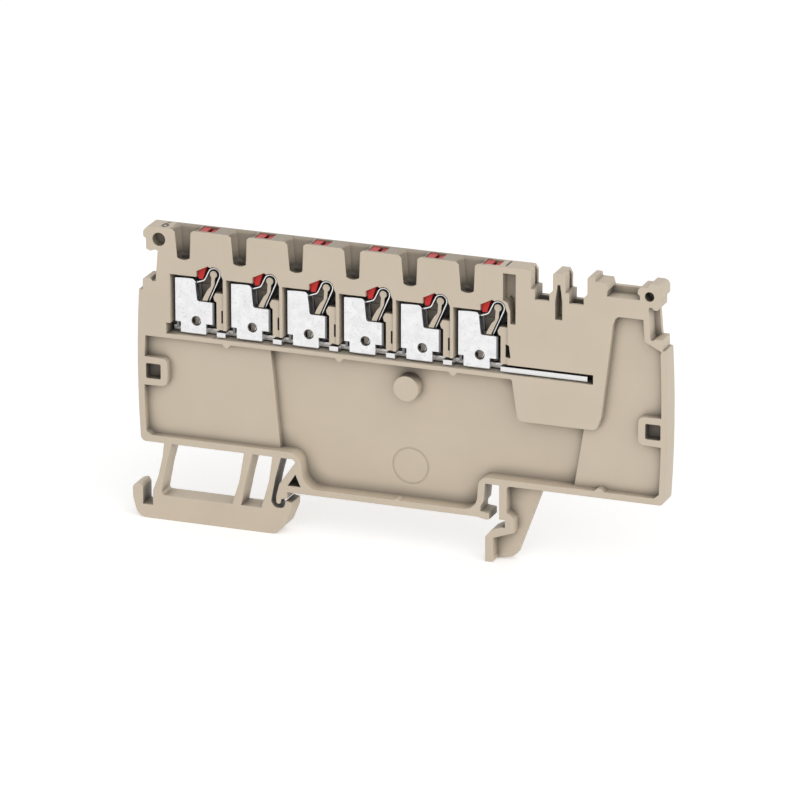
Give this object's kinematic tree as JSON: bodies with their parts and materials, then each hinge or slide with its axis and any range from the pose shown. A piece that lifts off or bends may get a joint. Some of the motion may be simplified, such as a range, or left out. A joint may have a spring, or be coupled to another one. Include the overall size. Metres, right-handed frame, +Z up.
{
  "type": "distribution terminal block",
  "caption": "Slim rail-mounted distribution terminal block, open on one side, with push-in spring clamps, red release pushers, a shared current bar and a clip foot",
  "frame": {"origin": "middle of the rail seat: half way between the two rail edges, on the outer face of the rail's flanges, half way through the 3.5 mm thickness of the moulding", "axes": "+X along the block towards the head with the cross-connector slots, +Y through its thickness towards the closed back (the open side faces -Y), +Z up, away from the rail"},
  "size_m": [0.0863, 0.0048, 0.0471],
  "materials": {
    "housing": "moulded polyamide, dark beige, fine matt grain",
    "copper": "copper alloy bar, tin plated, silvery",
    "contact": "stamped and bent sheet, bright tin plated",
    "spring": "polished stainless spring strip",
    "pusher": "moulded, signal red, slight gloss"
  },
  "bodies": {
    "block": {"housing": "housing", "current_bar": "copper", "contact_frame_1": "contact", "clamp_spring_1": "spring", "contact_frame_2": "contact", "clamp_spring_2": "spring", "contact_frame_3": "contact", "clamp_spring_3": "spring", "contact_frame_4": "contact", "clamp_spring_4": "spring", "contact_frame_5": "contact", "clamp_spring_5": "spring", "contact_frame_6": "contact", "clamp_spring_6": "spring"},
    "push_1": {"pusher_1": "pusher"},
    "push_2": {"pusher_2": "pusher"},
    "push_3": {"pusher_3": "pusher"},
    "push_4": {"pusher_4": "pusher"},
    "push_5": {"pusher_5": "pusher"},
    "push_6": {"pusher_6": "pusher"}
  },
  "joints": [
    {"name": "push_1_slide", "type": "slide", "parent": "block", "child": "push_1", "axis": [0, 0, -1], "range_m": [0, 0.0014], "stiffness_N_per_m": 1500, "deforming": ["clamp_spring_1"]},
    {"name": "push_2_slide", "type": "slide", "parent": "block", "child": "push_2", "axis": [0, 0, -1], "range_m": [0, 0.0014], "stiffness_N_per_m": 1500, "deforming": ["clamp_spring_2"]},
    {"name": "push_3_slide", "type": "slide", "parent": "block", "child": "push_3", "axis": [0, 0, -1], "range_m": [0, 0.0014], "stiffness_N_per_m": 1500, "deforming": ["clamp_spring_3"]},
    {"name": "push_4_slide", "type": "slide", "parent": "block", "child": "push_4", "axis": [0, 0, -1], "range_m": [0, 0.0014], "stiffness_N_per_m": 1500, "deforming": ["clamp_spring_4"]},
    {"name": "push_5_slide", "type": "slide", "parent": "block", "child": "push_5", "axis": [0, 0, -1], "range_m": [0, 0.0014], "stiffness_N_per_m": 1500, "deforming": ["clamp_spring_5"]},
    {"name": "push_6_slide", "type": "slide", "parent": "block", "child": "push_6", "axis": [0, 0, -1], "range_m": [0, 0.0014], "stiffness_N_per_m": 1500, "deforming": ["clamp_spring_6"]}
  ]
}
